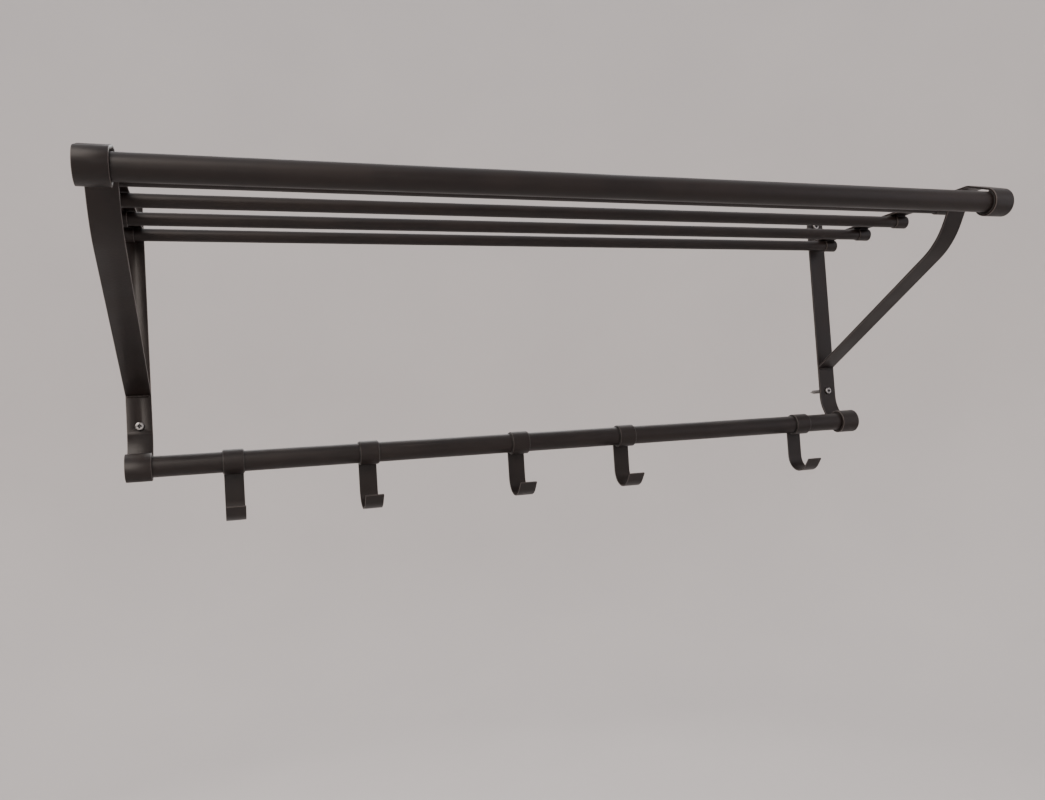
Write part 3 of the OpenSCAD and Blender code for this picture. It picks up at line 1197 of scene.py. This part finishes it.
@dataclass
class WallScrews:
    """Pan-head wood screws with a cross recess, through the wall straps into the wall."""

    at: Layout
    palette: Palette
    head_round: float = 1.5 * MM
    blade: Triple = (5.0 * MM, 3.2 * MM, 1.1 * MM)
    blade_sunk: float = 0.3 * MM
    mouth_radius: float = 2.0 * MM
    mouth_floor: float = 0.6 * MM
    mouth_length: float = 2 * MM
    mouth_sunk: float = 0.8 * MM
    plain: float = 2.2 * MM
    taper: float = 0.8 * MM
    root: float = 1.8 * MM
    crest: float = 2.5 * MM
    pitch: float = 2.2 * MM
    fin: float = 0.5 * MM
    fin_rooted: float = 0.2 * MM
    thread_start: float = 1.0 * MM
    point: float = 6 * MM

    def make(self) -> None:
        """Makes one screw and copies it to its four places."""
        at = self.at
        self.x, self.z = at.bar_x, at.screw_height
        first = join([self.head(), self.shank(), self.thread()])
        first.name = "screw_right_upper"
        across, down = -2 * at.bar_x, at.low_screw_height - at.screw_height
        screws = {
            ("right", "upper"): first,
            ("right", "lower"): copy_of(first, "screw_right_lower", (0, 0, down)),
            ("left", "upper"): copy_of(first, "screw_left_upper", (across, 0, 0)),
            ("left", "lower"): copy_of(first, "screw_left_lower", (across, 0, down)),
        }
        for (side, height), piece in screws.items():
            hand_over(piece, "frame", "zinc", f"wall_screw_{side}_{height}")

    def head(self) -> Object:
        """The pan head with its recess: two crossed blades sunk into it, and a wider mouth.

        Returns:
            The head.
        """
        # The recess's blades and mouth take the dark zinc: painted shade in the recess.
        x, z, front, dark = self.x, self.z, self.at.head_front, self.palette.recess
        height = -self.at.bar - front
        middle = (x, front + height / 2, z)
        head = round_bar("screw_head", middle, height, self.at.head_radius, 64, Lying.INTO_WALL)
        dress(head, self.palette.zinc, dark)
        pick(head, Element.EDGE, lambda edge: all(p.y < front + HAIR for p in edge))
        bpy.ops.mesh.bevel(offset=self.head_round, segments=7, profile=0.55, affect="EDGES")
        leave_edit()
        for turn in (0.0, math.pi / 2):
            place = (x, front + self.blade_sunk, z)
            bpy.ops.mesh.primitive_cube_add(size=1, location=place, rotation=(0, turn, 0))
            bpy.context.object.scale = self.blade
            blade = named("recess_blade")
            pick(blade, Element.FACE, lambda face: face.normal.y > 0.9)
            bpy.ops.mesh.inset(thickness=0.3 * MM)
            leave_edit()
            carve(head, dress(blade, dark), material_mode="TRANSFER")
        bpy.ops.mesh.primitive_cone_add(
            vertices=32,
            radius1=self.mouth_radius,
            radius2=self.mouth_floor,
            depth=self.mouth_length,
            location=(x, front + self.mouth_sunk, z),
            rotation=(-math.pi / 2, 0, 0),
        )
        carve(head, dress(named("recess_mouth"), dark), material_mode="TRANSFER")
        ease_edges(head, 0.08 * MM, 1)
        return head

    def shank(self) -> Object:
        """The plain shank through the bar, then the thread's core, drawn to a point.

        Returns:
            The shank and core.
        """
        start = -self.at.bar - 0.2 * MM
        end = self.at.screw_end - self.point
        core = round_bar("screw_core", (self.x, start / 2, self.z), -start, self.plain, 48, Lying.INTO_WALL)
        pick(core, Element.FACE, lambda face: face.normal.y > 0.9)
        extrude((0, self.taper, 0))
        shrink = self.root / self.plain
        bpy.ops.transform.resize(value=(shrink, 1, shrink), center_override=(self.x, self.taper, self.z))
        extrude((0, end - self.taper, 0))
        extrude((0, self.point * 0.7, 0))
        near_tip = (self.x, end + self.point * 0.7, self.z)
        bpy.ops.transform.resize(value=(0.35, 1, 0.35), center_override=near_tip)
        extrude((0, self.point * 0.3, 0))
        bpy.ops.mesh.merge(type="CENTER")
        leave_edit()
        ease_edges(dress(core, self.palette.zinc), 0.1 * MM, 1)
        return core

    def thread(self) -> Object:
        """The thread: a thin fin wound round the core.

        Returns:
            The thread.
        """
        turns = int((self.at.screw_end - self.point - self.thread_start) / self.pitch)
        bpy.ops.mesh.primitive_circle_add(vertices=3, radius=self.fin, fill_type="NOTHING")
        fin = named("screw_thread")
        inner = self.root - self.fin_rooted
        corners = [(inner, -self.fin), (self.crest, 0.0), (inner, self.fin)]
        for vertex, (radius, along) in zip(fin.data.vertices, corners):
            vertex.co = (radius, along, 0)
        modify(
            fin,
            "SCREW",
            axis="Y",
            angle=2 * math.pi,
            screw_offset=self.pitch,
            iterations=turns,
            steps=28,
            render_steps=28,
        )
        edit_all(fin)
        bpy.ops.mesh.fill_holes(sides=3)
        leave_edit()
        close_up(fin)
        fin.data.transform(Matrix.Translation((self.x, self.thread_start, self.z)))
        dress(fin, self.palette.zinc)
        bpy.ops.object.shade_smooth_by_angle(angle=math.radians(30))
        return fin


@dataclass
class SlidingHooks:
    """The hooks, each rolled from one strip, on the plastic glides that run along the rail."""

    at: Layout
    palette: Palette

    def make(self) -> None:
        """Makes one hook and one glide and copies them to their places."""
        first = self.at.hooks[0]
        hook, glide = self.hook(first), self.glide(first)
        for i, x in enumerate(self.at.hooks, 1):
            shift = (x - first, 0, 0)
            bar = hook if i == 1 else copy_of(hook, f"hook_bar_{i}", shift)
            bush = glide if i == 1 else copy_of(glide, f"glide_bush_{i}", shift)
            hand_over(bar, f"hook_{i}", "powder_coat", f"hook_{i}")
            hand_over(bush, f"glide_{i}", "nylon", f"hook_glide_{i}")

    def hook(self, x: float) -> Object:
        """One strip: a short tip, the curve, the drop, and a loop rolled round the glide.

        Args:
            x: The middle of the hook along the wall.

        Returns:
            The hook.
        """
        at = self.at
        loop_in = at.rail_radius + 2 * at.running_gap + at.glide_wall
        loop_out = loop_in + at.hook_thickness
        turn = math.radians(at.hook_turn)
        centre = Vector((0, at.rail[0] + loop_out - at.hook_bend, at.rail[1] - at.hook_drop))
        # The path runs up from the tip along the outside of the curve, with the strip on its left
        curve_end = centre + at.hook_bend * Vector((0, math.cos(-turn), math.sin(-turn)))
        outward = Vector((0, math.cos(-turn - math.pi / 2), math.sin(-turn - math.pi / 2)))
        tip = curve_end + at.hook_tip * outward
        # The loop stops 2 degrees short of the drop
        roll = 360 - math.degrees(math.acos(loop_in / loop_out)) - 2
        steps = [
            Straight(at.hook_tip),
            Bend(at.hook_bend - at.hook_thickness, at.hook_turn),
            Straight(at.hook_drop),
            Bend(loop_in, roll),
        ]
        bar = FlatBar(
            "hook_bar_1",
            at.hook_width,
            at.hook_thickness,
            x,
            (tip.y, tip.z),
            90 - at.hook_turn,
            steps,
            at.tip_corner,
            0.3 * MM,
        )
        return bar.finish(bar.build(), self.palette.coat, self.palette.edge)

    def glide(self, x: float) -> Object:
        """The flanged bush between a hook and the rail.

        Args:
            x: The middle of the glide along the wall.

        Returns:
            The glide.
        """
        at = self.at
        bore = at.rail_radius + at.running_gap
        outer = bore + at.glide_wall
        half, flange = at.glide_length / 2, at.glide_flange
        parts = [RoundTube("glide_bush_1", (x - half, x + half), at.rail, outer, bore, ease=0.12 * MM)]
        for start in (x - half, x + half - flange):
            section = (at.rail, at.flange_radius, outer - 0.1 * MM)
            parts.append(RoundTube("glide_flange", (start, start + flange), *section, ease=0.2 * MM))
        return join([part.make(self.palette.glide) for part in parts])


# ---- studio


@dataclass
class Studio:
    """A pale sweep, soft lamps and the camera, a little below the shelf and left of the middle."""

    centre: Vector
    floor_height: float = -1.35
    floor_radius: float = 2.6
    floor_curve: float = 1.7
    floor_turn: float = 84.0
    wall_height: float = 4.0
    air: str = "#e6e4e6"
    air_strength: float = 1.45
    camera_place: Triple = (-0.3563, -0.9816, -0.1472)
    camera_yaw: float = 19.41
    camera_pitch: float = 2.21
    camera_roll: float = -3.58
    lens_mm: float = 29.5

    def make(self) -> None:
        """Builds the whole studio."""
        self.floor()
        self.world()
        self.lamp("key_softbox", (-1.7, -1.9, 1.5), (2.8, 2.2), 130, "#fff4ea")
        self.lamp("fill_softbox", (2.1, -1.7, 0.3), (2.2, 2.2), 14, "#f4f3fb")
        self.lamp("low_softbox", (-0.4, -3.0, -0.2), (1.8, 0.9), 8, "#fffaf4")
        self.lamp("back_softbox", (0.6, 2.2, 1.6), (2.6, 1.4), 34, "#ffffff")
        self.camera()

    def floor(self) -> None:
        """Lathes the paper sweep: a flat round floor that curves up into a wall all round."""
        curve = Bend(self.floor_curve, self.floor_turn)
        path = [Straight(self.floor_radius), curve, Straight(self.wall_height)]
        paper = FlatBar("studio_sweep", 0, 0, 0, (0, self.floor_height), 0, path)
        bpy.ops.mesh.primitive_plane_add(size=1, location=(0, 0, self.floor_height))
        sweep = named(paper.name)
        pick(sweep, Element.VERTEX, lambda v: v.co.y > 0 or v.co.x > 0)
        bpy.ops.mesh.delete(type="VERT")
        leave_edit()
        sweep.data.vertices[0].co = (0, 0, self.floor_height)
        pick(sweep, Element.VERTEX, lambda v: True)
        paper.follow()
        bpy.ops.mesh.select_all(action="SELECT")
        bpy.ops.mesh.spin(steps=96, angle=2 * math.pi, center=(0, 0, 0), axis=(0, 0, 1))
        bpy.ops.mesh.select_all(action="SELECT")
        bpy.ops.mesh.remove_doubles(threshold=10 * HAIR)
        bpy.ops.mesh.dissolve_degenerate(threshold=HAIR)
        bpy.ops.mesh.normals_make_consistent(inside=True)
        leave_edit()
        bpy.ops.object.shade_smooth()
        dress(sweep, StudioFloor().material())
        sweep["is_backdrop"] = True

    def world(self) -> None:
        """Fills the room with even, slightly cool light."""
        world = bpy.data.worlds.new("studio_air")
        world.use_nodes = True
        background = world.node_tree.nodes["Background"]
        background.inputs["Color"].default_value = srgb(self.air)
        background.inputs["Strength"].default_value = self.air_strength
        bpy.context.scene.world = world

    def lamp(self, name: str, place: Triple, size: Pair, watts: float, colour: str) -> None:
        """Hangs one softbox aimed at the rack.

        Args:
            name: Its name.
            place: Where it is.
            size: Its width and height.
            watts: Its power.
            colour: Its colour.
        """
        light = bpy.data.lights.new(name, "AREA")
        light.shape = "RECTANGLE"
        light.size, light.size_y = size
        light.energy = watts
        light.color = srgb(colour)[:3]
        lamp = bpy.data.objects.new(name, light)
        bpy.context.scene.collection.objects.link(lamp)
        lamp.visible_camera = False
        lamp.location = place
        lamp.rotation_euler = (self.centre - Vector(place)).to_track_quat("-Z", "Y").to_euler()

    def camera(self) -> None:
        """Sets up the camera by its place and its yaw, pitch and roll."""
        yaw, pitch, roll = (math.radians(a) for a in (self.camera_yaw, self.camera_pitch, self.camera_roll))
        ahead = Vector((math.sin(yaw) * math.cos(pitch), math.cos(yaw) * math.cos(pitch), math.sin(pitch)))
        level = Vector((math.cos(yaw), -math.sin(yaw), 0))
        above = level.cross(ahead)
        right = math.cos(roll) * level + math.sin(roll) * above
        up = math.cos(roll) * above - math.sin(roll) * level
        turn = Matrix((right, up, -ahead)).transposed().to_4x4()
        data = bpy.data.cameras.new("camera")
        data.sensor_width = 36
        data.lens = self.lens_mm
        data.clip_start = 0.01
        data.clip_end = 50
        camera = bpy.data.objects.new("camera", data)
        bpy.context.scene.collection.objects.link(camera)
        camera.matrix_world = Matrix.Translation(self.camera_place) @ turn
        bpy.context.scene.camera = camera


def box_list(box: tuple[Vector, Vector]) -> list[list[float]]:
    """A box as plain lists of numbers."""
    return [[float(v) for v in corner] for corner in box]


def main() -> None:
    """Builds the rack and its studio."""
    logging.basicConfig(level=logging.INFO, format="%(name)s: %(message)s")
    solids = box_list(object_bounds())
    layout = Layout()
    palette = Palette()
    for assembly in (SideFrames, TubesAndRods, PlugsAndLinings, WallScrews, SlidingHooks):
        assembly(layout, palette).make()
    low, high = (Vector(corner) for corner in solids)
    Studio((low + high) / 2).make()
    take()


if __name__ == "__main__":
    main()
